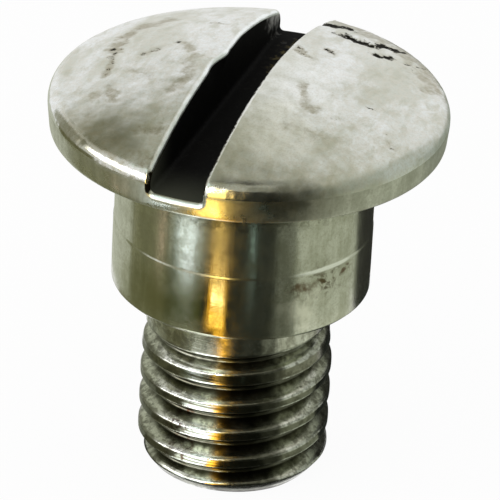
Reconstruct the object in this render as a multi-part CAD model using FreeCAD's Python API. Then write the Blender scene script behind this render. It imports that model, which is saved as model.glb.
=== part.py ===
import FreeCAD, Part
import math
import os

# A slotted shoulder screw, turned from one steel bar. From the top down it has a low domed head
# with a narrow rim, a straight slot sawn right across the head, a plain round shoulder that a lever
# or a roller turns on, a short plain neck, and a coarse right-hand V thread with a chamfered end.
#
# Lengths are in millimetres and angles in degrees. +Z is up. The origin is the centre of the flat
# end of the thread, so the screw stands on that end with its head on top. The slot runs along Y.

# Head
head_diameter = 10.0
head_underside_diameter = 9.82
rim_height = 0.92
dome_height = 0.97
dome_edge_chamfer = 0.28
rim_edge_round = 0.12

# Slot, a little to one side of the axis, as the saw left it
slot_width = 1.35
slot_depth = 1.49
slot_offset = -0.16
slot_corner_round = 0.12
saw_margin = 1.0

# Shoulder
shoulder_diameter = 6.5
shoulder_length = 4.21
shoulder_edge_chamfer = 0.12
head_fillet = 0.12

# Neck, the plain stretch between shoulder and thread, and the crests' taper up to it
neck_diameter = 4.65
neck_length = 1.32
neck_taper_length = 0.7
neck_fillet = 0.15

# Thread, neck included in the stud's length
stud_length = 5.02
crest_diameter = 4.83
root_diameter = 4.04
root_flat = 0.1
thread_pitch = 0.8
thread_angle = 60.0
groove_overrun = 0.29
groove_end_angle = 17.8
runout_turns = 0.5
end_diameter = 4.22
end_chamfer_length = 0.41
tool_margin = 0.06

# Heights along the axis, from the flat end up
seat_z = stud_length
neck_bottom_z = seat_z - neck_length
taper_bottom_z = neck_bottom_z - neck_taper_length
groove_end_z = neck_bottom_z + groove_overrun
underside_z = seat_z + shoulder_length
rim_top_z = underside_z + rim_height
top_z = rim_top_z + dome_height
slot_floor_z = top_z - slot_depth

origin = FreeCAD.Vector(0, 0, 0)
up = FreeCAD.Vector(0, 0, 1)


def point(radius, height):
    return FreeCAD.Vector(radius, 0, height)


def dome_arc():
    """The dome's outline from the rim's top edge to the axis, part of a sphere's."""
    half_width = head_diameter / 2
    sphere_radius = (half_width ** 2 + dome_height ** 2) / (2 * dome_height)
    centre_z = top_z - sphere_radius
    half_angle = math.asin(half_width / sphere_radius) / 2
    middle_height = centre_z + sphere_radius * math.cos(half_angle)
    middle = point(sphere_radius * math.sin(half_angle), middle_height)
    return Part.Arc(point(half_width, rim_top_z), middle, point(0, top_z)).toShape()


def blank_profile():
    """Half section of the screw before its slot and thread are cut."""
    corners = [
        point(0, 0),
        point(end_diameter / 2, 0),
        point(crest_diameter / 2, end_chamfer_length),
        point(crest_diameter / 2, taper_bottom_z),
        point(neck_diameter / 2, neck_bottom_z),
        point(neck_diameter / 2, seat_z),
        point(shoulder_diameter / 2, seat_z),
        point(shoulder_diameter / 2, underside_z),
        point(head_underside_diameter / 2, underside_z),
        point(head_diameter / 2, rim_top_z),
    ]
    edges = [Part.makeLine(start, end) for start, end in zip(corners, corners[1:])]
    edges.append(dome_arc())
    edges.append(Part.makeLine(point(0, top_z), point(0, 0)))
    return Part.Face(Part.Wire(edges))


def ring_edges(solid, diameter, height):
    """The circular edges of a turned solid that have this diameter and height."""
    found = []
    for edge in solid.Edges:
        if edge.Degenerated or not isinstance(edge.Curve, Part.Circle):
            continue
        ring = edge.Curve
        if abs(ring.Radius - diameter / 2) < 1e-5 and abs(ring.Center.z - height) < 1e-5:
            found.append(edge)
    return found


def turned_blank():
    """The turned body with its edges broken and its corners filled, without slot and thread."""
    blank = blank_profile().revolve(origin, up, 360)
    chamfers = (
        (dome_edge_chamfer, head_diameter, rim_top_z),
        (shoulder_edge_chamfer, shoulder_diameter, seat_z),
    )
    for size, diameter, height in chamfers:
        blank = blank.makeChamfer(size, ring_edges(blank, diameter, height))
    rounds = (
        (rim_edge_round, head_underside_diameter, underside_z),
        (head_fillet, shoulder_diameter, underside_z),
        (neck_fillet, neck_diameter, seat_z),
    )
    for radius, diameter, height in rounds:
        blank = blank.makeFillet(radius, ring_edges(blank, diameter, height))
    return blank


def slot_cutter():
    """What the slotting saw takes away: straight walls and a flat floor with round corners."""
    length = head_diameter + 2 * saw_margin
    height = slot_depth + saw_margin
    corner = FreeCAD.Vector(slot_offset - slot_width / 2, -length / 2, slot_floor_z)
    box = Part.makeBox(slot_width, length, height, corner)
    floor_edges = []
    for edge in box.Edges:
        middle = edge.CenterOfMass
        if abs(middle.y) < 1e-6 and abs(middle.z - slot_floor_z) < 1e-6:
            floor_edges.append(edge)
    return box.makeFillet(slot_corner_round, floor_edges)


def groove_profile(height):
    """The V of one thread groove at angle zero, reaching a little past the crests."""
    outer_radius = crest_diameter / 2 + tool_margin
    root_radius = root_diameter / 2
    half_root = root_flat / 2
    flank_slope = math.tan(math.radians(thread_angle / 2))
    half_mouth = half_root + (outer_radius - root_radius) * flank_slope
    corners = [
        point(outer_radius, height - half_mouth),
        point(root_radius, height - half_root),
        point(root_radius, height + half_root),
        point(outer_radius, height + half_mouth),
    ]
    return Part.makePolygon(corners + corners[:1])


def swept_groove(start_height, rise, cone_angle=0.0):
    """The groove's profile carried up a helix, which widens where a cone angle is given."""
    path = Part.makeHelix(thread_pitch, rise, root_diameter / 2, cone_angle)
    path.translate(FreeCAD.Vector(0, 0, start_height))
    cutter = Part.Wire(path.Edges).makePipeShell([groove_profile(start_height)], True, True)
    cutter.rotate(origin, up, groove_end_angle)
    return cutter


def thread_cutters():
    """One cutter for each turn of the groove, from its end down past the stud's, and the run-out."""
    turns = math.ceil(groove_end_z / thread_pitch + 1)
    cutters = []
    for turn in range(turns):
        turn_start = groove_end_z - (turn + 1) * thread_pitch
        cutters.append(swept_groove(turn_start, thread_pitch))
    rise = runout_turns * thread_pitch
    retreat = (crest_diameter - root_diameter) / 2 + tool_margin
    widening = math.degrees(math.atan(retreat / rise))
    cutters.append(swept_groove(groove_end_z, rise, widening))
    return cutters


def slotted_screw():
    """The finished screw, one solid."""
    screw = turned_blank().cut(slot_cutter())
    for cutter in thread_cutters():
        screw = screw.cut(cutter)
    return screw.Solids[0]


os.makedirs("parts", exist_ok=True)
screw = slotted_screw()
screw.exportStep("parts/slotted_screw.step")
print("valid", screw.isValid(), "volume", round(screw.Volume, 3), "faces", len(screw.Faces))
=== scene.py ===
"""The looks of a slotted shoulder screw that stands on its flat end.

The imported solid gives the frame. One finely made mesh stands for it: domed head with a sawn slot,
rim, shoulder, neck and a right-hand thread. Lengths are in millimetres until a mesh is made, and
angles in degrees. Bearings are measured round the screw from the camera's side, to the right.
"""

import math

import bmesh
import bpy
import numpy as np
from mathutils import Matrix, Vector, noise


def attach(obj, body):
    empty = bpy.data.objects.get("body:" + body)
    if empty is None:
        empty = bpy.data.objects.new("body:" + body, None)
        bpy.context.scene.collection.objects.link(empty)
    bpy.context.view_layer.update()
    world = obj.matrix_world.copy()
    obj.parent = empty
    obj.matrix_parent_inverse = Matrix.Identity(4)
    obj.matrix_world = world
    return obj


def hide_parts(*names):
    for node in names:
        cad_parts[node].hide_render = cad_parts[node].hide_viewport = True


MM = 0.001
DOME, SLOT, RIM, SHOULDER, NECK, THREAD = range(6)

# Head
head_radius = 5.0
underside_radius = 4.91
underside_z = 9.23
rim_top_z = 10.15
top_z = 11.12
dome_edge_round = 0.42
dome_edge_reach = 0.5
dome_edge_wear = 0.08
most_worn_bearing = 50.0
rim_edge_round = 0.12
dome_height = top_z - rim_top_z
dome_sphere = (head_radius ** 2 + dome_height ** 2) / (2 * dome_height)

# Slot
slot_width = 1.35
slot_offset = -0.16
slot_floor_z = 9.63
slot_corner_round = 0.12
slot_mouth_round = 0.12
slot_mouth_power = 1.5
mouth_facing_up = 0.8
slot_right = slot_offset + slot_width / 2
slot_left = slot_offset - slot_width / 2
wall_bottom_z = slot_floor_z + slot_corner_round

# Where the slot's left edge was knocked: places along it, how far it moves into the slot, and over
# what length
slot_edge_knocks = ((0.3, 0.07, 0.28), (0.8, 0.05, 0.6), (-0.42, -0.05, 0.3))
slot_edge_knock_depth = 0.5

# Shoulder, neck and thread
shoulder_radius = 3.25
shoulder_edge_chamfer = 0.12
shoulder_edge_round = 0.03
head_fillet = 0.12
seat_z = 5.02
neck_radius = 2.325
neck_bottom_z = 3.70
neck_top_z = 4.5
neck_fillet = 0.15
taper_bottom_z = 3.0
crest_radius = 2.415
root_radius = 2.02
root_flat = 0.1
thread_pitch = 0.8
thread_angle = 60.0
crest_round = 0.07
groove_end_z = 3.99
groove_end_angle = 17.8
runout_angle = 180.0
tool_margin = 0.06
end_radius = 2.11
end_chamfer_length = 0.41

# The line round the shoulder down to which a lever has worn it
wear_line_z = 6.78
wear_depth = 0.015
wear_edge = 0.03

# Marks on the dome. Each has its path in x and y, its reach to both sides, its depth, and how much
# dark grime and how much dull scuffing it shows.
dome_marks = (
    (((0.63, 3.81), (0.89, 3.97), (1.25, 3.99)), 0.36, 0.05, 0.95, 0.9),
    (((1.38, 3.21), (1.65, 3.12), (1.92, 3.12), (2.2, 3.14)), 0.38, 0.06, 1.0, 0.9),
    (((2.2, 3.2), (2.35, 3.43), (2.65, 3.5)), 0.33, 0.04, 0.85, 0.9),
    (((2.42, 2.5), (2.76, 2.72)), 0.26, 0.03, 0.8, 0.8),
    (((3.08, 2.68), (3.3, 2.75), (3.52, 2.95)), 0.14, 0.025, 0.55, 0.5),
    (((3.2, 2.4), (3.5, 2.5)), 0.1, 0.015, 0.4, 0.4),
    (((0.9, 4.4), (1.9, 4.15), (2.9, 3.6), (3.7, 2.9), (4.2, 2.0)), 0.75, 0.03, 0.0, 0.75),
    (((0.72, 1.48), (0.85, 1.2), (1.03, 1.02), (1.26, 0.95)), 0.22, 0.015, 0.5, 0.9),
    (((1.39, 1.68), (1.57, 1.57)), 0.2, 0.02, 0.65, 0.9),
    (((1.35, 1.15), (1.4, 1.1)), 0.12, 0.01, 0.4, 0.3),
    (((1.49, -0.52), (1.71, -0.98), (1.86, -1.33), (2.08, -1.36)), 0.24, 0.01, 0.2, 0.7),
    (((2.3, -0.85), (2.36, -0.83)), 0.14, 0.01, 0.4, 0.3),
    (((3.16, -0.46), (3.3, -0.4)), 0.16, 0.01, 0.4, 0.3),
    (((3.9, -1.2), (4.16, -1.6)), 0.2, 0.012, 0.25, 0.5),
    (((2.66, -1.44), (2.72, -1.4)), 0.14, 0.01, 0.3, 0.3),
    (((1.3, -2.5), (2.1, -2.2), (2.95, -2.2)), 0.45, 0.0, 0.0, 0.35),
    (((-2.9, 2.35), (-3.42, 1.79), (-3.64, 1.3), (-3.69, 0.69), (-3.6, 0.0)),
     0.34, 0.015, 0.2, 1.0),
    (((-3.65, 0.13), (-3.48, -0.39)), 0.2, 0.02, 0.6, 0.7),
    (((-3.48, -0.39), (-3.35, -0.97), (-3.3, -1.4)), 0.2, 0.015, 0.35, 0.8),
    (((-3.0, -1.89), (-2.68, -2.44)), 0.25, 0.01, 0.05, 0.7),
    (((-2.8, -0.22), (-2.63, -0.09), (-2.46, 0.04)), 0.18, 0.015, 0.5, 0.7),
    (((-2.2, 0.52), (-2.1, 0.58)), 0.18, 0.015, 0.55, 0.6),
    (((-2.1, 0.56), (-1.84, 0.47), (-1.5, 0.0), (-1.26, -1.15), (-1.4, -1.9)),
     0.3, 0.01, 0.05, 0.65),
    (((-2.75, -1.1), (-2.44, -1.2), (-2.17, -1.33)), 0.24, 0.01, 0.2, 0.7),
    (((-1.75, 2.14), (-1.38, 2.14)), 0.16, 0.015, 0.4, 0.6),
    (((-3.36, -2.2), (-3.3, -2.3)), 0.35, 0.01, 0.0, 0.5),
    (((-1.65, -3.5), (-1.2, -3.4)), 0.35, 0.01, 0.1, 0.6),
    (((-3.6, -3.2), (-2.9, -3.9), (-2.0, -4.5), (-1.2, -4.8)), 0.95, 0.01, 0.0, 0.5),
    (((-2.6, -3.3), (-2.0, -3.9)), 0.6, 0.0, 0.0, 0.4),
)
mark_unevenness = 0.55
mark_grain = 3.1
mark_fine_grain = 8.3
mark_fine_share = 0.6

# How finely the mesh is divided
side_columns = 72
top_columns = 168
slot_columns = 24
mouth_columns = 6
mouth_depths = (0.015, 0.04, 0.075, 0.12, 0.18)
rim_rows = 3
edge_steps = 7
underside_rows = 5
shoulder_rows = 12
seat_rows = 6
neck_rows = 5
flank_shares = (0.12, 0.4, 0.7, 0.92)
crest_steps = (0, 0.025, 0.06)
row_margin = 0.006
end_rings = 7
round_steps = 4

# Where the columns under the head become half as many
join_radius = 3.9

# The camera, fitted to the screw's outline in the photograph
camera_azimuth = 17.8
camera_elevation = 28.9445
camera_roll = 3.0677
camera_distance = 125.2
camera_lens = 360.0
camera_sensor = 36
camera_clip = (0.01, 5)
camera_aim = (0.195, 0.063, 5.8255)

# How far out the turned sides mirror the floor: the end of the thread's part, of the neck's, and
# of the shoulder's below its wear line
mirror_start = 2.7
thread_reach = 8.6
neck_reach = 11.2
line_reach = 15.6
far = 90
card_step = 4

# Light, at a level at which a plain colour renders about as it is written
world_light = 0.7
floor_white_share = 0.95
floor_color = (0.86, 0.86, 0.86, 1)
floor_radius = 600
floor_corners = 96
softbox_bearing = -60.0
softbox_distance = 150.0
softbox_height = 60.0
softbox_size = (220.0, 60.0)
softbox_power = 0.15


def turned(bearing):
    """Unit vector on the floor from the screw's axis at a bearing from the camera's side."""
    angle = math.radians(camera_azimuth - 90 + bearing)
    return Vector((math.cos(angle), math.sin(angle), 0))


def new_object(name, data):
    """An object of this data, in the scene."""
    made = bpy.data.objects.new(name, data)
    bpy.context.scene.collection.objects.link(made)
    return made


def add_node(tree, kind, inputs=None, **settings):
    """A new shader node. inputs gives the sockets to link and the values to set."""
    made = tree.nodes.new("ShaderNode" + kind)
    for key, value in settings.items():
        setattr(made, key, value)
    for key, value in (inputs or {}).items():
        if isinstance(value, bpy.types.NodeSocket):
            tree.links.new(value, made.inputs[key])
        else:
            made.inputs[key].default_value = value
    return made


class MeshDraft:
    """Points, faces and tones, gathered before the mesh is made."""

    def __init__(self):
        self.points = []
        self.faces = []
        self.regions = []
        self.dome = []
        self.tones = {"grime_and_shade": {}, "scuff": {}, "edge_highlight": {}}

    def add(self, x, y, z):
        self.points.append((x, y, z))
        return len(self.points) - 1

    def polar(self, angle, radius, z):
        return self.add(radius * math.cos(angle), radius * math.sin(angle), z)

    def face(self, corners, region):
        """A face, where two or more of its corners may be one point."""
        kept = list(dict.fromkeys(corners))
        if len(kept) > 2:
            self.faces.append(kept)
            self.regions.append(region)

    def rows(self, rows, region, closed=False):
        """Quads between each row of points and the next."""
        for upper, lower in zip(rows, rows[1:]):
            count = len(upper)
            for i in range(count if closed else count - 1):
                j = (i + 1) % count
                self.face((upper[i], lower[i], lower[j], upper[j]), region)

    def build(self, name, materials):
        mesh = bpy.data.meshes.new(name)
        mesh.from_pydata([Vector(p) * MM for p in self.points], [], self.faces)
        mesh.polygons.foreach_set("material_index", self.regions)
        mesh.polygons.foreach_set("use_smooth", [True] * len(self.faces))
        for material in materials:
            mesh.materials.append(material)
        work = bmesh.new()
        work.from_mesh(mesh)
        bmesh.ops.recalc_face_normals(work, faces=work.faces)
        work.to_mesh(mesh)
        work.free()
        for tone, values in self.tones.items():
            layer = mesh.attributes.new(tone, "FLOAT", "POINT")
            for index, value in values.items():
                layer.data[index].value = value
        return new_object(name, mesh)


def dome_z(radius):
    """Height of the dome's sphere at a distance from the axis."""
    return top_z - dome_sphere + math.sqrt(dome_sphere ** 2 - radius ** 2)


def from_path(x, y, path):
    """Distance of places from a path, both given as arrays of x and y."""
    nearest = np.full(x.shape, np.inf)
    for (ax, ay), (bx, by) in zip(path, path[1:]):
        dx, dy = bx - ax, by - ay
        share = np.clip(((x - ax) * dx + (y - ay) * dy) / (dx * dx + dy * dy), 0, 1)
        nearest = np.minimum(nearest, np.hypot(x - ax - share * dx, y - ay - share * dy))
    return nearest


def mark_dome(draft):
    """Sinks the nicks and scuffs into the dome and notes where their dirt shows."""
    places = np.array([draft.points[i] for i in draft.dome])
    uneven = np.array([
        noise.noise(place * mark_grain) + mark_fine_share * noise.noise(place * mark_fine_grain)
        for place in map(Vector, places)
    ])
    sunk = np.zeros(len(places))
    tones = {"grime_and_shade": np.zeros(len(places)), "scuff": np.zeros(len(places))}
    for path, reach, depth, grime_and_shade, scuff in dome_marks:
        distance = from_path(places[:, 0], places[:, 1], path)
        share = np.clip(1 - distance / reach + mark_unevenness * uneven, 0, 1)
        share *= np.clip(3 - 1.5 * distance / reach, 0, 1)
        share = share * share * (3 - 2 * share)
        sunk = np.maximum(sunk, depth * share)
        tones["grime_and_shade"] = np.maximum(tones["grime_and_shade"], grime_and_shade * share)
        tones["scuff"] = np.maximum(tones["scuff"], scuff * share)
    for k, index in enumerate(draft.dome):
        x, y, z = draft.points[index]
        draft.points[index] = (x, y, z - sunk[k])
        for tone, values in tones.items():
            draft.tones[tone][index] = max(values[k], draft.tones[tone].get(index, 0))


def slot_edge_shift(y):
    """How far the slot's mouth has been knocked into the slot at a place along its left side."""
    return sum(
        size * math.exp(-((y - place) / length) ** 2) for place, size, length in slot_edge_knocks
    )


def add_outside(draft, x, y, z, outwards, upwards):
    """Adds a place on the head's outside, moved inwards where the slot's mouth is rounded.

    outwards and upwards are the parts of the surface's normal away from the axis and along it.
    """
    left = x < slot_offset
    across = abs(x - slot_offset)
    if left:
        across += slot_edge_shift(y)
    across = max(across - slot_width / 2 + slot_corner_round, 0)
    below = max(wall_bottom_z - z, 0)
    distance = math.hypot(across, below) - slot_corner_round
    share = min(max(1 - distance / slot_mouth_round, 0), 1)
    inset = slot_mouth_round * (1 - (1 - share ** slot_mouth_power) ** (1 / slot_mouth_power))
    index = draft.add(x, y - math.copysign(inset * outwards, y), z - inset * upwards)
    # On the mouth's rounding: a painted highlight on the slot floor's front and back edges and on
    # the left side where it faces up, which are also worn bright, and painted shade on the rest.
    rubbed_and_highlit = z < slot_floor_z or left and upwards > mouth_facing_up
    draft.tones["edge_highlight" if rubbed_and_highlit else "grime_and_shade"][index] = share
    return index


def dome_normal(radius):
    """The dome's normal at a distance from the axis, as its parts outwards and upwards."""
    return radius / dome_sphere, math.sqrt(1 - (radius / dome_sphere) ** 2)


def profile_normals(profile):
    """Normals of a profile that runs outwards and down, as parts outwards and upwards."""
    places = np.array(profile)
    runs = np.gradient(places, axis=0)
    runs /= np.hypot(runs[:, 0], runs[:, 1])[:, None]
    return [(-run[1], run[0]) for run in runs]


def rounded(corners, rounds, steps=round_steps):
    """A profile with its corners rounded. A corner with no round stays sharp."""
    line = [corners[0]]
    for i in range(1, len(corners) - 1):
        before, corner, after = (Vector(corners[i + k]) for k in (-1, 0, 1))
        radius = rounds[i - 1]
        if radius == 0:
            line.append(corners[i])
            continue
        u = (before - corner).normalized()
        v = (after - corner).normalized()
        half = u.angle(v) / 2
        reach = radius / math.tan(half)
        centre = corner + (u + v).normalized() * (radius / math.sin(half))
        start = corner + u * reach - centre
        sweep = start.angle_signed(corner + v * reach - centre)
        for k in range(steps + 1):
            arm = start.copy()
            arm.rotate(Matrix.Rotation(-sweep * k / steps, 2))
            line.append(tuple(centre + arm))
    line.append(corners[-1])
    return line


def divided(start, end, count):
    """Points between two ends, the start left out and the end kept."""
    return [
        tuple(a + (b - a) * k / count for a, b in zip(start, end)) for k in range(1, count + 1)
    ]


def rim_profile(angle):
    """From the dome's edge round down to where the slot's floor corners begin.

    The edge is worn rounder on one side than on the other.
    """
    worn = math.cos(angle - math.radians(camera_azimuth - 90 + most_worn_bearing))
    inner = head_radius - dome_edge_reach
    corners = [(inner, dome_z(inner)), (head_radius, rim_top_z), (underside_radius, underside_z)]
    edge = rounded(corners, [dome_edge_round + dome_edge_wear * worn], edge_steps)[1:-1]
    return edge + divided(edge[-1], (rim_radius(wall_bottom_z), wall_bottom_z), rim_rows)


def rim_radius(z):
    share = (rim_top_z - z) / (rim_top_z - underside_z)
    return head_radius + (underside_radius - head_radius) * share


def side_shares(columns, wall):
    """Where a side's columns stand, from -1 to 1, closer together next to the slot."""
    arc = 2 * head_radius * math.acos(wall / head_radius)
    mouth = 2 * slot_mouth_round / arc
    close = [-1 + mouth * k / mouth_columns for k in range(mouth_columns)]
    wide = columns - 2 * mouth_columns
    even = [-1 + mouth + (2 - 2 * mouth) * k / wide for k in range(wide + 1)]
    return np.array(close + even + [-share for share in close[::-1]])


def half_head(draft, wall, turn):
    """One side of the head: dome, rim and slot wall. Returns its lowest rim and wall rows.

    wall is the slot wall's distance from the axis, and turn is 1 for the right side and -1 for
    the left side, which is made as the right one and turned half round.
    """
    columns = 2 * side_columns + top_columns
    shares = side_shares(columns, wall)
    rim = []
    edge = []
    for share in shares:
        profile = rim_profile(share * math.pi / 2 + (0 if turn > 0 else math.pi))
        column = []
        for (radius, z), normal in zip(profile, profile_normals(profile)):
            angle = math.acos(wall / radius) * share
            x, y = radius * math.cos(angle), radius * math.sin(angle)
            column.append(add_outside(draft, turn * x, turn * y, z, *normal))
            if len(column) == 1:
                edge.append(np.array((x, y)))
        rim.append(column)
    rim = [list(row) for row in zip(*rim)]
    draft.rows(rim[:edge_steps], DOME)
    draft.rows(rim[edge_steps - 1:], RIM)
    draft.dome.extend(index for row in rim[:edge_steps] for index in row)

    front, back = edge[0][1], edge[-1][1]
    chord = [
        np.array((wall, front + (back - front) * k / top_columns)) for k in range(top_columns + 1)
    ]
    shifts = [0 if turn > 0 else slot_edge_shift(-y) for _, y in chord]
    chord = [place - np.array((shift, 0)) for place, shift in zip(chord, shifts)]
    grid = []
    for i in range(side_columns):
        v = (shares[i] + 1) / (shares[side_columns] + 1)
        row = [rim[0][i]]
        for k in range(1, top_columns):
            u = k / top_columns
            across = chord[k] * (1 - v) + edge[side_columns + k] * v
            along = edge[i] * (1 - u) + edge[columns - i] * u
            low = chord[0] * (1 - u) + chord[-1] * u
            high = edge[side_columns] * (1 - u) + edge[columns - side_columns] * u
            x, y = across + along - low * (1 - v) - high * v
            radius = math.hypot(x, y)
            row.append(add_outside(draft, turn * x, turn * y, dome_z(radius),
                                   *dome_normal(radius)))
        row.append(rim[0][columns - i])
        grid.append(row)
    grid.append(rim[0][side_columns:columns - side_columns + 1])
    draft.rows(grid, DOME)
    draft.dome.extend(index for row in grid[:-1] for index in row[1:-1])

    wall_rows = [grid[0]]
    for rim_row in rim[1:]:
        ends = [draft.points[rim_row[i]] for i in (0, -1)]
        tops = [draft.points[grid[0][i]] for i in (0, -1)]
        depths = [(top[2] - end[2]) / (top[2] - wall_bottom_z) for top, end in zip(tops, ends)]
        row = [rim_row[0]]
        for k in range(1, top_columns):
            u = k / top_columns
            x, y, z = draft.points[grid[0][k]]
            depth = depths[0] * (1 - u) + depths[1] * u
            y = ends[0][1] * (1 - u) + ends[1][1] * u
            deep = (z - wall_bottom_z) * depth
            x += turn * shifts[k] * min(deep / slot_edge_knock_depth, 1)
            row.append(draft.add(x, y, z - deep))
        row.append(rim_row[-1])
        wall_rows.append(row)
    draft.rows(wall_rows, SLOT)
    return rim[-1], wall_rows[-1]


def slot_floor(draft, right_row, left_row):
    """The slot's floor with its round corners. Returns its outlines at the front and the back."""
    corners = [(slot_right, wall_bottom_z), (slot_right, slot_floor_z),
               (slot_left, slot_floor_z), (slot_left, wall_bottom_z)]
    steps = slot_columns // 4
    arcs = rounded(corners, [slot_corner_round] * 2, steps)[1:-1]
    middle = divided(arcs[steps], arcs[steps + 1], slot_columns - 2 * steps)[:-1]
    section = arcs[:steps + 1] + middle + arcs[steps + 1:]
    rows = [right_row]
    for x, z in section[1:-1]:
        reach = math.sqrt(rim_radius(z) ** 2 - x ** 2) - slot_mouth_round
        rows.append([
            draft.add(x, reach * (2 * k / top_columns - 1), z) for k in range(top_columns + 1)
        ])
    rows.append(left_row[::-1])
    draft.rows(rows, SLOT)
    return [row[0] for row in rows], [row[-1] for row in rows]


def ring(draft, angles, radius, z):
    return [draft.polar(angle, radius, z) for angle in angles]


def thread_radius(angle, z):
    """Distance of the threaded end's surface from the axis."""
    points = ((0, end_radius), (end_chamfer_length, crest_radius), (taper_bottom_z, crest_radius),
              (neck_bottom_z, neck_radius), (seat_z, neck_radius))
    outer = np.interp(z, [p[0] for p in points], [p[1] for p in points])
    turns = (angle - math.radians(groove_end_angle)) / (2 * math.pi)
    centre = groove_end_z + thread_pitch * turns
    nearest = round((centre - z) / thread_pitch)
    off = abs(z - centre + nearest * thread_pitch)
    past_end = (turns - nearest) * 360
    retreat = max(0.0, past_end / runout_angle) * (crest_radius - root_radius + tool_margin)
    flank = root_radius + (off - root_flat / 2) / math.tan(math.radians(thread_angle / 2))
    groove = max(root_radius, flank) + retreat
    blend = max(crest_round - abs(outer - groove), 0) / crest_round
    return min(outer, groove) - blend ** 2 * crest_round / 4


def thread_phases():
    """Heights of the rows within one pitch, from a groove's centre up to the next one's."""
    flank_width = (crest_radius - root_radius) * math.tan(math.radians(thread_angle / 2))
    edge = root_flat / 2 + flank_width
    half = [0, root_flat / 2]
    half += [root_flat / 2 + flank_width * share for share in flank_shares]
    half += [edge + step for step in crest_steps]
    crest = thread_pitch / 2
    return half + [crest] + [thread_pitch - height for height in half[:0:-1]]


def thread(draft, angles, top_row):
    """The threaded end. Its rows climb with the helix, so the crests' edges are clean lines.

    Returns its lowest row, the outline of the flat end.
    """
    columns = len(angles)
    phases = thread_phases()
    lowest = groove_end_z + thread_pitch * (math.degrees(angles[0]) - groove_end_angle) / 360
    first_turn = -math.ceil((lowest + thread_pitch) / thread_pitch)
    last_turn = math.ceil((neck_top_z - lowest) / thread_pitch)
    heights = [
        lowest + thread_pitch * turn + phase
        for turn in range(first_turn, last_turn + 1) for phase in phases
    ]
    bottom_row = [draft.polar(angle, thread_radius(angle, 0), 0) for angle in angles]
    rows = []
    for height in heights:
        row = []
        for j, angle in enumerate(angles):
            z = height + thread_pitch * j / columns
            if z > neck_top_z - row_margin:
                row.append(top_row[j])
            elif z < row_margin:
                row.append(bottom_row[j])
            else:
                row.append(draft.polar(angle, thread_radius(angle, z), z))
        rows.append(row)
    for lower, row in enumerate(rows):
        ahead = lower + len(phases)
        row.append(rows[ahead][0] if ahead < len(rows) else top_row[0])
    draft.rows(rows[::-1], THREAD)
    return bottom_row


def end_face(draft, outline):
    """The flat end, in rings that shrink to the middle."""
    rows = [outline]
    for k in range(1, end_rings):
        share = 1 - k / end_rings
        rows.append([draft.add(draft.points[i][0] * share, draft.points[i][1] * share, 0)
                     for i in outline])
    draft.rows(rows, THREAD, closed=True)
    centre = draft.add(0, 0, 0)
    inner = rows[-1]
    for i in range(len(inner)):
        draft.face((inner[i], centre, inner[(i + 1) % len(inner)]), THREAD)


def screw_mesh(materials):
    """The whole screw as one closed mesh, from the head down."""
    draft = MeshDraft()
    right_rim, right_wall = half_head(draft, slot_right, 1)
    left_rim, left_wall = half_head(draft, -slot_left, -1)
    mark_dome(draft)
    front, back = slot_floor(draft, right_wall, left_wall)
    outline = right_rim + back[1:-1] + left_rim + front[-2:0:-1]
    count = len(outline)
    angles = np.unwrap([math.atan2(draft.points[i][1], draft.points[i][0]) for i in outline])
    even = angles[0] + np.arange(count) * 2 * math.pi / count
    join = (join_radius, underside_z)

    rows = [outline]
    for depth in mouth_depths:
        z = slot_floor_z - depth
        radius = rim_radius(z)
        rows.append([add_outside(draft, radius * math.cos(a), radius * math.sin(a), z, 1, 0)
                     for a in angles])
    corners = [(rim_radius(slot_floor_z), slot_floor_z), (underside_radius, underside_z), join]
    lower_rim = rounded(corners, [rim_edge_round])[1:-1]
    for radius, z in lower_rim:
        rows.append(ring(draft, angles, radius, z))
    draft.rows(rows, RIM, closed=True)
    under = [rows[-1]]
    for k, (radius, z) in enumerate(divided(lower_rim[-1], join, underside_rows)):
        share = (k + 1) / underside_rows
        under.append(ring(draft, angles * (1 - share) + even * share, radius, z))
    draft.rows(under, RIM, closed=True)

    coarse = even[::2]
    worn_radius = shoulder_radius - wear_depth
    corners = [join, (worn_radius, underside_z),
               (worn_radius, wear_line_z + wear_depth + wear_edge),
               (worn_radius, wear_line_z + wear_depth),
               (shoulder_radius, wear_line_z - wear_depth),
               (shoulder_radius, wear_line_z - wear_depth - wear_edge),
               (shoulder_radius, seat_z + shoulder_edge_chamfer),
               (shoulder_radius - shoulder_edge_chamfer, seat_z),
               (neck_radius, seat_z), (neck_radius, neck_top_z)]
    edge = [shoulder_edge_round] * 2
    line = rounded(corners, [head_fillet, 0, 0, 0, 0, *edge, neck_fillet])
    steps = round_steps + 1
    fillet = line[1:1 + steps]
    step = line[1 + steps:5 + steps]
    upper, lower, root = (line[5 + k * steps:5 + (k + 1) * steps] for k in range(1, 4))
    shoulder = fillet + divided(fillet[-1], step[0], shoulder_rows // 2) + step[1:]
    shoulder += divided(step[-1], upper[0], shoulder_rows // 2) + upper[1:] + lower
    seat = divided(lower[-1], root[0], seat_rows) + root[1:]
    neck = divided(root[-1], line[-1], neck_rows)
    wide = under[-1]
    narrow = ring(draft, coarse, *divided(join, fillet[0], 2)[0])
    half = len(narrow)
    for j in range(half):
        n = (j + 1) % half
        a, b, c = wide[2 * j], wide[2 * j + 1], wide[(2 * j + 2) % count]
        draft.face((a, narrow[j], b), RIM)
        draft.face((b, narrow[j], narrow[n]), RIM)
        draft.face((b, narrow[n], c), RIM)
    rows = [narrow]
    for region, profile in ((SHOULDER, shoulder), (SHOULDER, seat), (NECK, neck)):
        rows = [rows[-1]] + [ring(draft, coarse, radius, z) for radius, z in profile]
        draft.rows(rows, region, closed=True)
    end_face(draft, thread(draft, coarse, rows[-1]))

    obj = draft.build("screw", materials)
    weighted = obj.modifiers.new("even_shading", "WEIGHTED_NORMAL")
    weighted.keep_sharp = True
    return obj


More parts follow.
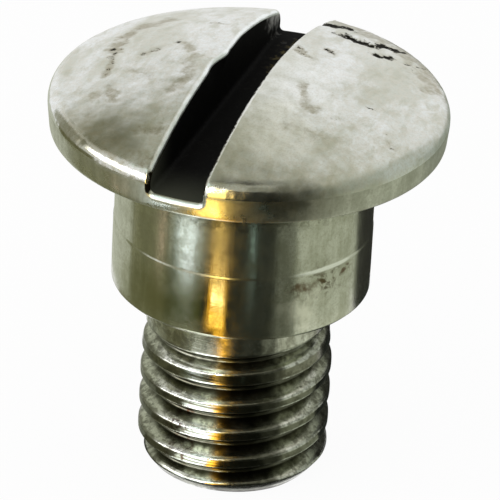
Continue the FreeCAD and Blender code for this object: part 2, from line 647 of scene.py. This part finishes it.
class Finish:
    """A metal's node tree, with short calls for the nodes that its functions use.

    Its coordinates are the frame's own, in millimetres, so nothing depends on a UV map. Its paint
    is the colour so far, which coats and stains are laid over.
    """

    def __init__(self, name, metallic=1.0, roughness=0.3):
        self.material = bpy.data.materials.new(name)
        self.material.use_nodes = True
        self.tree = self.material.node_tree
        self.shader = self.tree.nodes["Principled BSDF"]
        self.shader.inputs["Metallic"].default_value = metallic
        self.shader.inputs["Roughness"].default_value = roughness
        self.place = self.tree.nodes.new("ShaderNodeTexCoord").outputs["Object"]
        self.mm = self.stretched((1, 1, 1))
        self.paint = None

    def node(self, kind, inputs=None, **settings):
        return add_node(self.tree, kind, inputs, **settings)

    def stretched(self, scale):
        """Coordinates in millimetres, each axis multiplied by its scale."""
        factors = [value / MM for value in scale]
        return self.node("Mapping", {"Vector": self.place, "Scale": factors}).outputs["Vector"]

    def noise(self, scale, detail=3.0, roughness=0.55, distortion=0.0, at=None):
        inputs = {"Vector": at or self.mm, "Scale": scale, "Detail": detail,
                  "Roughness": roughness, "Distortion": distortion}
        return self.node("TexNoise", inputs).outputs["Fac"]

    def spread(self, value, low, high, to_low=0.0, to_high=1.0, kind="SMOOTHSTEP"):
        """value between low and high carried over to another range, held at its ends."""
        inputs = {"Value": value, "From Min": low, "From Max": high,
                  "To Min": to_low, "To Max": to_high}
        return self.node("MapRange", inputs, interpolation_type=kind).outputs["Result"]

    def ramp(self, value, *limits):
        """The same with a straight course in place of a smooth one."""
        return self.spread(value, *limits, kind="LINEAR")

    def patches(self, low, high, *grain, **more):
        """Patches where a noise lies above low, full from high on. The rest is what noise takes."""
        return self.spread(self.noise(*grain, **more), low, high)

    def math(self, operation, first, second=0.0):
        return self.node("Math", {0: first, 1: second}, operation=operation).outputs[0]

    def times(self, first, second):
        return self.math("MULTIPLY", first, second)

    def plus(self, first, second):
        return self.math("ADD", first, second)

    def minus(self, first, second):
        return self.math("SUBTRACT", first, second)

    def size_of(self, value):
        return self.math("ABSOLUTE", value)

    def vector(self, operation, first, second):
        return self.node("VectorMath", {0: first, 1: second}, operation=operation).outputs[0]

    def length(self, vector):
        return self.node("VectorMath", {0: vector}, operation="LENGTH").outputs["Value"]

    def mix(self, factor, first, second):
        """Colour from first to second as factor goes from zero to one."""
        inputs = {0: factor}
        for key, color in ((6, first), (7, second)):
            inputs[key] = color if isinstance(color, bpy.types.NodeSocket) else (*color, 1)
        return self.node("Mix", inputs, data_type="RGBA").outputs[2]

    def coat(self, color, mask, strength=None):
        """Lays a colour over the paint where the mask is, as strongly as strength says."""
        if strength is not None:
            mask = self.times(mask, strength)
        self.paint = self.mix(mask, self.paint, color)

    def stain(self, color, strength, *place):
        """Lays a colour over the paint near a place. place is what near takes."""
        self.coat(color, self.near(*place), strength)

    def near(self, centre, reach, squash=(1, 1, 1), rough=0.0, grain=2.0, at=None):
        """One at a place in millimetres, falling to zero at reach, with an uneven edge."""
        moved = self.vector("SUBTRACT", at or self.mm, centre)
        length = self.length(self.vector("MULTIPLY", moved, squash))
        if rough:
            length = self.plus(length, self.ramp(self.noise(grain), 0.3, 0.7, -rough, rough))
        return self.spread(length, 0, reach, 1, 0)

    def axis(self, index):
        return self.node("SeparateXYZ", {0: self.mm}).outputs[index]

    def around(self):
        """Angle round the screw in radians, zero at the side that the photograph shows."""
        turn = (0, 0, math.radians(90 - camera_azimuth))
        inputs = {"Vector": self.mm, "Rotation": turn}
        front = self.node("Mapping", inputs).outputs["Vector"]
        parts = self.node("SeparateXYZ", {0: front}).outputs
        return self.math("ARCTAN2", parts[1], parts[0])

    def from_axis(self):
        """Distance from the screw's axis."""
        return self.length(self.vector("MULTIPLY", self.mm, (1, 1, 0)))

    def sideways(self, *limits):
        """A spread of the angle round the screw."""
        return self.spread(self.around(), *limits)

    def outwards(self, *limits):
        """A spread of the distance from the axis."""
        return self.spread(self.from_axis(), *limits)

    def unrolled(self, radius):
        """Coordinates on a turned side: millimetres to the right of its front, and height."""
        right = self.times(self.around(), radius)
        return self.node("CombineXYZ", {0: right, 1: self.axis(2)}).outputs[0]

    def bump(self, heights):
        """Fine relief. heights gives each height's socket and its depth in millimetres."""
        normal = None
        for height, depth in heights:
            inputs = {"Height": height, "Distance": depth * MM, "Strength": 1.0}
            if normal:
                inputs["Normal"] = normal
            normal = self.node("Bump", inputs).outputs["Normal"]
        self.tree.links.new(normal, self.shader.inputs["Normal"])

    def finished(self, roughness=None):
        """The material, with the paint and the roughness on its shader."""
        self.tree.links.new(self.paint, self.shader.inputs["Base Color"])
        if roughness:
            self.tree.links.new(roughness, self.shader.inputs["Roughness"])
        return self.material


def tone_of(steel, name):
    """How much dirt and painted shade, scuffing or painted highlight the mesh has noted for a
    place.
    """
    return steel.node("Attribute", attribute_name=name).outputs["Fac"]


def paint_edge_highlight(steel, color):
    """Paints a highlight along the slot's edges, which are also worn bright, in uneven stretches.
    """
    uneven = steel.ramp(steel.noise(2.4, 5, 0.7), 0.35, 0.65, -0.3, 0.12)
    steel.coat(color, steel.spread(steel.plus(tone_of(steel, "edge_highlight"), uneven), 0.1, 0.6))


def paint_dark_reflection(steel):
    """Paints a dark reflection on a stretch of the rim and of the dome's edge, to the right of the
    slot.
    """
    stretch = steel.near((2.4, -4.4, 9.85), 1.35, (1, 1, 1.3), 0.3, 2.0)
    steel.coat((0.09, 0.09, 0.065), steel.times(stretch, steel.outwards(4.6, 4.8)), 0.8)


def dome_finish():
    """Satin steel with a mottled, handled surface, scuffs and a dark smudge."""
    steel = Finish("dome_steel")
    along = steel.stretched((1, 0.5, 1))
    patches = steel.patches(0.42, 0.66, 0.8, 4, 0.6, 0.5, along)
    steel.paint = steel.mix(patches, (0.8, 0.825, 0.82), (0.6, 0.617, 0.55))
    steel.coat((0.47, 0.475, 0.375), steel.patches(0.45, 0.7, 3.0, 4, 0.6, 0.3, along), 0.6)
    steel.coat((0.66, 0.6, 0.5), steel.patches(0.4, 0.6, 7, 2, 0.7), 0.25)
    # Two near-white patches on the right half: painted highlights.
    steel.stain((0.92, 0.94, 0.93), 0.65, (1.0, -0.8, 11), 2.1, (1, 0.7, 1), 0.5, 1.5)
    steel.stain((0.92, 0.925, 0.86), 0.55, (1.35, -2.7, 10.8), 1.4, (1, 0.6, 1), 0.4, 1.5)

    above_edge = steel.outwards(4.91, 4.81)
    reaches = steel.math("MAXIMUM", above_edge, steel.sideways(-0.7, -0.95))
    smudge = steel.near((-2.85, -3.75, 10.3), 1.85, (1, 1, 1), 0.35, 1.3)
    steel.coat((0.3, 0.3, 0.21), steel.times(smudge, reaches), 0.82)
    darker = steel.near((-2.15, -3.8, 10.4), 1.15, (1, 1, 1), 0.3, 1.5)
    steel.coat((0.16, 0.16, 0.1), steel.times(darker, above_edge), 0.65)

    ragged = steel.ramp(steel.noise(6, 5, 0.75, 0.3), 0.3, 0.7, -0.5, 0.5)
    scuff = tone_of(steel, "scuff")
    scuffed = steel.spread(steel.plus(scuff, steel.times(ragged, 0.8)), 0.0, 1.2)
    steel.coat((0.31, 0.28, 0.185), steel.times(scuffed, steel.spread(scuff, 0, 0.5)), 0.9)
    steel.coat((0.42, 0.4, 0.31), steel.patches(0.4, 0.75, 20, 2), 0.25)
    grime_and_shade = tone_of(steel, "grime_and_shade")
    # Near-black specks: dirt in the nicks, and painted shade along the slot's mouth.
    specks = steel.spread(steel.plus(grime_and_shade, ragged), 0.42, 0.72)
    specks = steel.times(specks, steel.spread(grime_and_shade, 0, 0.15))
    steel.coat((0.01, 0.008, 0.004), specks)
    paint_edge_highlight(steel, (0.9, 0.94, 0.93))
    paint_dark_reflection(steel)

    rough = steel.ramp(steel.noise(1.6, 5, 0.6), 0.3, 0.7, 0.28, 0.4)
    polish = steel.outwards(head_radius - 0.35, head_radius - 0.1, 0, 0.18)
    rough = steel.minus(rough, steel.times(polish, steel.sideways(0.3, 0.0)))
    steel.bump([(steel.noise(1.1, 2), 0.05), (steel.noise(14, 3), 0.0014)])
    return steel.finished(steel.plus(rough, steel.times(specks, 0.5)))


def slot_finish():
    """The sawn slot, painted near black as shade, with a painted dull grey reflection at the front
    and pale high at the far end.
    """
    steel = Finish("slot_steel", 0.0, 0.7)
    steel.shader.inputs["Specular IOR Level"].default_value = 0.06
    specks = steel.patches(0.5, 0.75, 9, 3, 0.7)
    # Near black all over: painted shade in the deep slot.
    steel.paint = steel.mix(specks, (0.003, 0.003, 0.003), (0.01, 0.01, 0.009))
    # Dull grey towards the open front end: painted reflection.
    steel.coat((0.045, 0.048, 0.034), steel.spread(steel.axis(1), -3.1, -4.9), 0.9)
    steel.stain((0.16, 0.13, 0.05), 1, (0.35, 3.4, 9.63), 0.9, (1, 0.6, 2), 0.4, 6.0)
    steel.stain((0.5, 0.5, 0.46), 1, (-0.83, 4.5, 10.5), 1.1, (0.4, 1.0, 1.4), 0.35, 5.0)
    steel.bump([(steel.noise(1.0, 3, at=steel.stretched((14, 0.8, 14))), 0.004)])
    return steel.finished()


def turned_steel(name, light, dark, roughness, streak_depth, ring_depth=0.0012):
    """Turned steel with fine rings and soft streaks along the axis, and its roughness."""
    steel = Finish(name)
    streaks = steel.noise(1.0, 4, 0.6, at=steel.stretched((3.2, 3.2, 0.35)))
    blotches = steel.noise(2.2, 5, 0.6, 0.4)
    amount = steel.plus(steel.times(streaks, 0.55), steel.times(blotches, 0.45))
    steel.paint = steel.mix(steel.spread(amount, 0.38, 0.62), light, dark)
    rings = steel.noise(1.0, 2, at=steel.stretched((0.2, 0.2, 34)))
    steel.bump([(rings, ring_depth), (streaks, streak_depth)])
    return steel, steel.ramp(blotches, 0.3, 0.7, roughness * 0.75, roughness * 1.35)


def oily_steel(name):
    """The turned steel of the neck, with dark oily blotches, and its roughness."""
    steel, rough = turned_steel(name, (0.66, 0.67, 0.6), (0.45, 0.45, 0.38), 0.19, 0.004)
    steel.coat((0.16, 0.155, 0.11), steel.patches(0.42, 0.62, 3.2, 5, 0.7, 0.3), 0.6)
    return steel, rough


def neck_finish():
    """Plain oily steel."""
    steel, rough = oily_steel("neck_steel")
    return steel.finished(rough)


def rim_finish():
    """Turned like the shoulder, duller to the right, with painted shade along the slot's mouth and
    in its left corner.
    """
    steel, rough = turned_steel("rim_steel", (0.64, 0.65, 0.58), (0.46, 0.47, 0.4), 0.28, 0.003)
    steel.coat((0.3, 0.29, 0.22), steel.patches(0.4, 0.7, 14, 3, 0.7), 0.35)
    # Darker along the slot's mouth, and near black in its left corner: painted shade.
    grime_and_shade = tone_of(steel, "grime_and_shade")
    steel.coat((0.05, 0.045, 0.03), steel.spread(grime_and_shade, 0.1, 0.5), 0.65)
    corner = steel.times(steel.spread(grime_and_shade, 0, 0.12), steel.sideways(-0.33, -0.42))
    steel.coat((0.006, 0.006, 0.005), corner)
    paint_edge_highlight(steel, (0.86, 0.93, 0.92))
    paint_dark_reflection(steel)
    duller = steel.plus(steel.sideways(0.0, 0.4, 0, 0.14), steel.times(corner, 0.5))
    return steel.finished(steel.plus(rough, duller))


def shoulder_finish():
    """Polished above the line down to which a lever turned on it, and spotted below that line."""
    steel, rough = turned_steel(
        "shoulder_steel", (0.64, 0.65, 0.57), (0.46, 0.47, 0.38), 0.19, 0.003, 0.0003)
    steel.coat((0.3, 0.28, 0.18), steel.patches(0.42, 0.7, 15, 3, 0.7), 0.35)
    face = steel.unrolled(shoulder_radius)
    rusty = steel.near((2.1, 6.45, 0), 1.2, (0.9, 1.7, 1), 0.35, 3.0, face)
    spots = steel.patches(0.46, 0.62, 4.0, 5, 0.7, 0.5)
    steel.coat((0.1, 0.075, 0.035), steel.times(rusty, spots))
    for place, reach in (((1.62, 6.42, 0), 0.42), ((2.92, 6.55, 0), 0.2)):
        steel.stain((0.12, 0.07, 0.03), 0.85, place, reach, (1, 2, 1), 0.25, 5.0, face)
    # Painted shadow under the head, at the top of the shoulder, with an uneven lower edge.
    uneven_z = steel.plus(steel.axis(2), steel.spread(spots, 0, 1, -0.12, 0.12))
    steel.coat((0.14, 0.14, 0.09), steel.spread(uneven_z, 8.0, 8.4), 0.6)
    # A pale patch low on the right: painted reflection.
    steel.stain((0.92, 0.9, 0.8), 0.7, (1.6, 5.8, 0), 0.8, (0.9, 1.3, 1), 0.35, 2.5, face)
    # A near-white line along the lip of the wear line: painted highlight.
    lip_highlight = (2.4, wear_line_z + 0.02, 0)
    steel.stain((0.97, 0.98, 0.94), 1.6, lip_highlight, 1.5, (1, 18, 1), 0.15, 5.0, face)
    stained = steel.near((-2.0, 5.75, 0), 1.9, (0.75, 1.5, 1), 0.3, 1.5, face)
    below = steel.spread(steel.axis(2), wear_line_z + 0.04, wear_line_z - 0.04)
    steel.coat((0.28, 0.28, 0.14), steel.times(stained, below), 0.8)
    polish = steel.near((-0.55, 5.95, 0), 1.3, (1.6, 1, 1), 0.15, 3.0, face)
    return steel.finished(steel.minus(rough, steel.times(polish, 0.12)))


def half_crest_share(radius):
    """Half of a crest's width between two grooves at this radius, in pitches."""
    half_groove = root_flat / 2 + (radius - root_radius) * math.tan(math.radians(thread_angle / 2))
    return 0.5 - half_groove / thread_pitch


def thread_finish():
    """Oil and painted shade in the grooves, painted shade on the crests, and wear with a painted
    highlight along their edges.
    """
    steel, rough = oily_steel("thread_steel")
    plain = steel.paint
    z = steel.axis(2)
    taper = steel.ramp(z, taper_bottom_z, neck_bottom_z)
    turns = steel.math("DIVIDE", steel.around(), 2 * math.pi)
    height = steel.math("DIVIDE", steel.minus(z, groove_end_z), thread_pitch)
    start = (camera_azimuth - 90 - groove_end_angle) / 360
    phase = steel.minus(steel.minus(height, turns), start)
    from_crest = steel.size_of(steel.minus(steel.math("FRACT", phase), 0.5))
    half_crest = steel.ramp(taper, 0, 1, half_crest_share(crest_radius),
                            half_crest_share(neck_radius))
    from_edge = steel.size_of(steel.minus(from_crest, half_crest))

    uneven = steel.ramp(steel.noise(3.5, 3), 0.3, 0.7, -0.05, 0.05)
    outer = steel.ramp(taper, 0, 1, crest_radius, neck_radius)
    inwards = steel.plus(steel.minus(outer, steel.from_axis()), uneven)
    flank = steel.spread(inwards, 0.03, 0.1)
    # Crest flats painted darker than the flanks: painted shade. Deep in the grooves darker still:
    # oil and painted shade.
    steel.paint = steel.mix(flank, (0.22, 0.22, 0.17), (0.54, 0.55, 0.47))
    steel.coat((0.13, 0.13, 0.1), steel.spread(inwards, 0.15, 0.34))
    steel.coat((0.09, 0.088, 0.06), steel.patches(0.42, 0.62, 3.4, 5, 0.75), 0.8)

    # Lighter broken rings on the outer parts, near the lit bearing left of the front: painted
    # highlight.
    rings = steel.patches(0.42, 0.56, 1.0, 3, at=steel.stretched((0.5, 0.5, 15)))
    highlight_mask = steel.spread(steel.size_of(steel.plus(steel.around(), 0.36)), 0.3, 0.14)
    highlight_mask = steel.times(highlight_mask, steel.spread(inwards, 0.2, 0.05))
    steel.coat((0.62, 0.64, 0.6), steel.times(highlight_mask, rings))
    # Darker across the front: painted dark reflection.
    front = steel.spread(steel.size_of(steel.minus(steel.around(), 0.18)), 0.42, 0.3)
    steel.coat((0.05, 0.05, 0.038), front, 0.65)
    # Near white along the crest edges, broken up and kept to the lit bearings: wear with a painted
    # highlight.
    worn = steel.spread(from_edge, 0.08, 0.03)
    broken = steel.spread(steel.noise(4.5, 5, 0.75), 0.38, 0.6, 0.15, 1.0)
    for limit in (steel.sideways(-1.05, -0.75), steel.spread(front, 0, 1, 1, 0.15),
                  steel.sideways(0.4, 0.8, 1, 0.6), broken):
        worn = steel.times(worn, limit)
    steel.coat((0.92, 0.93, 0.88), worn)
    brown = steel.near((-1.45, 1.6, 0), 1.5, (2.6, 1, 1), 0.6, 3.0, steel.unrolled(crest_radius))
    steel.coat((0.06, 0.03, 0.015), steel.times(brown, steel.patches(0.48, 0.6, 7, 4, 0.7)))
    steel.coat(plain, steel.spread(phase, 0.3, 0.4))
    return steel.finished(rough)


def seen_by_camera(tree):
    """One for camera, glossy and transmission rays and zero for the rays that light the screw."""
    rays = add_node(tree, "LightPath").outputs
    total = rays["Is Camera Ray"]
    for kind in ("Is Glossy Ray", "Is Transmission Ray"):
        inputs = {0: total, 1: rays[kind]}
        total = add_node(tree, "Math", inputs, operation="ADD", use_clamp=True).outputs[0]
    return total


def plain_material(name, make_surface):
    """A material whose surface comes from a function of its node tree."""
    material = bpy.data.materials.new(name)
    material.use_nodes = True
    tree = material.node_tree
    tree.nodes.remove(tree.nodes["Principled BSDF"])
    surface = make_surface(tree).outputs[0]
    tree.links.new(surface, tree.nodes["Material Output"].inputs["Surface"])
    return material


def make_world():
    world = bpy.data.worlds.new("studio")
    bpy.context.scene.world = world
    world.use_nodes = True
    tree = world.node_tree
    background = tree.nodes["Background"]
    background.inputs["Color"].default_value = (1, 1, 1, 1)
    level = add_node(tree, "MapRange", {"Value": seen_by_camera(tree), "To Min": world_light})
    tree.links.new(level.outputs["Result"], background.inputs["Strength"])


def floor_surface(tree):
    """Pale for the light that falls on the screw, and nearly white to the camera."""
    diffuse = add_node(tree, "BsdfDiffuse", {"Color": floor_color})
    white = add_node(tree, "Emission")
    inputs = {0: seen_by_camera(tree), 1: floor_white_share}
    share = add_node(tree, "Math", inputs, operation="MULTIPLY")
    shares = {0: share.outputs[0], 1: diffuse.outputs[0], 2: white.outputs[0]}
    return add_node(tree, "MixShader", shares)


def make_floor():
    bpy.ops.mesh.primitive_circle_add(vertices=floor_corners, radius=floor_radius * MM,
                                      fill_type="NGON")
    floor = bpy.context.object
    floor.name = "floor"
    floor.data.materials.append(plain_material("pale_floor", floor_surface))


def flat(inner, outer, z=0.03):
    """The outline of a card that lies flat, from one distance to another."""
    return [(inner, z), (outer, z)]


def make_card(name, bearings, outline, color, strength=1.0):
    """A studio card that shows only in the metal's reflections.

    Its outline, in distance from the axis and height, is carried round the screw between two
    bearings.
    """
    start, end = bearings
    steps = max(2, round(abs(end - start) / card_step))
    rows = []
    points = []
    for k in range(steps + 1):
        way = turned(start + (end - start) * k / steps)
        rows.append(range(len(points), len(points) + len(outline)))
        points.extend((way * reach + Vector((0, 0, z))) * MM for reach, z in outline)
    faces = [
        (a[i], b[i], b[i + 1], a[i + 1])
        for a, b in zip(rows, rows[1:]) for i in range(len(outline) - 1)
    ]
    mesh = bpy.data.meshes.new(name)
    mesh.from_pydata(points, [], faces)
    glow = {"Color": (*color, 1), "Strength": strength}
    mesh.materials.append(plain_material(name, lambda tree: add_node(tree, "Emission", glow)))
    card = new_object(name, mesh)
    for rays in ("camera", "diffuse", "shadow", "transmission", "volume_scatter"):
        setattr(card, "visible_" + rays, False)


# What the turned sides mirror: dark, dim and pale stretches of the room, and a warm lamp to the
# left of the camera. Each card has its name, bearings, outline, colour and strength. The thread
# mirrors the floor close by, the shoulder mirrors it further out, and the dome what is overhead.
dark_outline = [(mirror_start, 0.03), (far, 0.03), (far, 90), (35, 115)]
cards = (
    # A dark ring round the foot, seen only in reflections: painted contact shadow on the floor.
    ("foot", (-180, 180), flat(2.2, 2.7, 0.02), (0.05, 0.055, 0.045)),
    ("dark_front", (-30, 28), dark_outline, (0.03, 0.034, 0.026)),
    ("dark_edge", (28, 45), [(mirror_start, 0.03), (far, 0.03), (far, 110)], (0.16, 0.17, 0.13)),
    ("wall_front_right", (45, 60), [(far, 0), (far, 110)], (0.33, 0.35, 0.29)),
    ("wall_right", (60, 124), [(far, 0), (far, 115)], (0.5, 0.53, 0.46)),
    ("wall_left", (-132, -102), [(far, 0), (far, 60)], (0.42, 0.42, 0.34)),
    ("thread_right", (45, 92), flat(mirror_start, thread_reach), (0.5, 0.54, 0.43)),
    ("neck_right", (45, 104), flat(thread_reach, 12), (0.75, 0.78, 0.66)),
    ("grey_right", (45, 111), flat(12, far), (0.52, 0.55, 0.44)),
    ("dark_right", (92, 152), flat(mirror_start, thread_reach), (0.04, 0.045, 0.04)),
    ("dark_edge_right", (111, 152), flat(thread_reach, far), (0.03, 0.035, 0.03)),
    ("rim_right", (85, 132), [(7, 5.6), (7, 7.6)], (0.4, 0.42, 0.35)),
    ("dark_flag", (104, 150), [(9, 1.0), (9, 6.2)], (0.03, 0.03, 0.026)),
    ("flag_seam", (104, 150), [(9, 6.2), (9, 6.6)], (0.17, 0.18, 0.15)),
    ("flag_top", (92, 150), [(9, 6.6), (9, 9.6)], (0.33, 0.36, 0.3)),
    ("flag_end", (150, 156), [(9, 1.0), (9, 9.6)], (0.12, 0.125, 0.1)),
    ("flag_far_end", (156, 163), [(9, 1.0), (9, 9.6)], (0.25, 0.26, 0.21)),
    ("flag_side", (163, 172), [(9, 1.0), (9, 9.6)], (0.42, 0.44, 0.36)),
    ("back_flag", (172, 200), [(9, 1.0), (9, 8.8)], (0.66, 0.68, 0.59)),
    ("glint", (8, 9.5), flat(line_reach, 19, 0.05), (0.5, 0.72, 0.66), 1.8),
    ("left_flag", (-160, -98), [(9, 1.0), (9, 8.8)], (0.58, 0.6, 0.5)),
    ("dim_far_left", (-122, -85), flat(thread_reach, far), (0.23, 0.23, 0.13)),
    ("dim_left", (-85, -61), flat(thread_reach, 36), (0.23, 0.23, 0.13)),
    ("thread_dim", (-90, -49), flat(mirror_start, thread_reach), (0.16, 0.16, 0.1)),
    ("thread_pale", (-142, -90), flat(mirror_start, thread_reach), (0.37, 0.39, 0.31)),
    ("thread_left", (-49, -20), flat(mirror_start, 8.2, 0.05), (0.94, 1.0, 0.96), 2.9),
    ("soft_left", (-61, -26), flat(thread_reach, line_reach), (0.09, 0.1, 0.035)),
    ("neck_left", (-61, -30), flat(thread_reach, neck_reach, 0.05), (0.26, 0.27, 0.18)),
    ("pink_left", (-71, -66), flat(line_reach, 19, 0.05), (1.0, 0.75, 0.6), 1.2),
    ("pale_left", (-61, -26), flat(line_reach, far), (0.36, 0.37, 0.28)),
    ("blue_left", (-58, -34), flat(15.8, 18.8, 0.05), (0.66, 0.74, 0.72)),
    ("blue_core", (-52, -37), flat(15.8, 17.1, 0.055), (0.92, 1.02, 1.12), 4.2),
    ("lamp_near", (-19, -11), flat(mirror_start, thread_reach, 0.06), (1.0, 0.48, 0.03), 4.5),
    ("lamp_neck", (-18, -11), flat(thread_reach, neck_reach, 0.06), (1, 0.52, 0.04), 1.9),
    ("lamp_low", (-25, -10), flat(neck_reach, 15.2, 0.06), (1.0, 0.5, 0.04), 1.1),
    ("lamp_core_low", (-23, -12), flat(12.2, 13.2, 0.07), (1.0, 0.56, 0.08), 3.4),
    ("lamp_core", (-22, -12), flat(13.75, 14.5, 0.07), (1.0, 0.72, 0.28), 5.0),
    ("lamp_core_high", (-24, -17), flat(14.85, 15.15, 0.07), (1.0, 0.6, 0.1), 3.0),
    ("lamp_far", (-22.5, -15), flat(line_reach, 20.5, 0.06), (1.0, 0.66, 0.2), 0.62),
    ("lamp_end", (-22, -12), flat(20.5, 60, 0.06), (1.0, 0.7, 0.2), 1.3),
    ("lamp_rim", (-17, -9), [(7, 6.9), (7, 8.7)], (1.0, 0.64, 0.14), 6.0),
    ("lamp_glow", (-26, -9), [(60, 0), (60, 60)], (1.0, 0.7, 0.22), 3.0),
    ("lamp_bulb", (-25, -19), [(58, 24), (58, 95)], (1.0, 0.97, 0.92), 14.0),
    ("overhead_slot", (-80, -32), flat(32, 54, 67), (0.86, 1.0, 0.97), 1.3),
    ("overhead_middle", (0, 360), flat(0.1, 12, 69), (0.06, 0.06, 0.05)),
    ("overhead_near", (-184, -4), flat(12, 30, 70), (0.34, 0.34, 0.26)),
    ("overhead_right_near", (-4, 176), flat(12, 30, 70), (0.55, 0.55, 0.46)),
    ("overhead_front", (-60, 60), flat(30, 80, 69), (0.36, 0.36, 0.28)),
    ("overhead_left", (-184, -110), flat(30, 74, 70), (0.36, 0.36, 0.26)),
    ("overhead_edge", (-110, -60), flat(30, 48, 70), (0.36, 0.36, 0.26)),
    ("overhead_right", (60, 176), flat(30, 60, 70), (0.75, 0.75, 0.67)),
)


def make_softbox():
    """A large soft lamp on the left, a little in front of the screw."""
    data = bpy.data.lights.new("softbox", "AREA")
    data.shape = "RECTANGLE"
    data.size = softbox_size[0] * MM
    data.size_y = softbox_size[1] * MM
    data.energy = softbox_power
    lamp = new_object("softbox", data)
    place = turned(softbox_bearing) * softbox_distance + Vector((0, 0, softbox_height))
    aim = Vector((0, 0, top_z)) - place
    lamp.location = place * MM
    lamp.rotation_euler = aim.to_track_quat("-Z", "Y").to_euler()
    lamp.visible_camera = False


def make_camera():
    azimuth = math.radians(camera_azimuth)
    elevation = math.radians(camera_elevation)
    roll = math.radians(camera_roll)
    back = Vector((math.sin(azimuth) * math.cos(elevation),
                   -math.cos(azimuth) * math.cos(elevation), math.sin(elevation)))
    level = Vector((math.cos(azimuth), math.sin(azimuth), 0))
    up = back.cross(level)
    right = level * math.cos(roll) + up * math.sin(roll)
    above = up * math.cos(roll) - level * math.sin(roll)
    place = Vector(camera_aim) + back * camera_distance
    data = bpy.data.cameras.new("camera")
    data.lens = camera_lens
    data.sensor_width = camera_sensor
    data.clip_start, data.clip_end = camera_clip
    camera = new_object("camera", data)
    turn = Matrix((right, above, back)).transposed().to_4x4()
    camera.matrix_world = Matrix.Translation(place * MM) @ turn
    bpy.context.scene.camera = camera


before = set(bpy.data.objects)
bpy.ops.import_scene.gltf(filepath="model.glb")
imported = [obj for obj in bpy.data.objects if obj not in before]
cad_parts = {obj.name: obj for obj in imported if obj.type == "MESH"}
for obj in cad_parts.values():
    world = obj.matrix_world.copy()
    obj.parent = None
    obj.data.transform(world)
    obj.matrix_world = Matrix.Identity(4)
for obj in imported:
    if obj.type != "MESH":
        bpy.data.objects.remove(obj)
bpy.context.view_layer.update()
bpy.context.scene.view_settings.view_transform = "Standard"

screw = screw_mesh([dome_finish(), slot_finish(), rim_finish(), shoulder_finish(),
                    neck_finish(), thread_finish()])
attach(screw, "root")
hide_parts("slotted_screw")

make_world()
make_floor()
for card in cards:
    make_card(*card)
make_softbox()
make_camera()
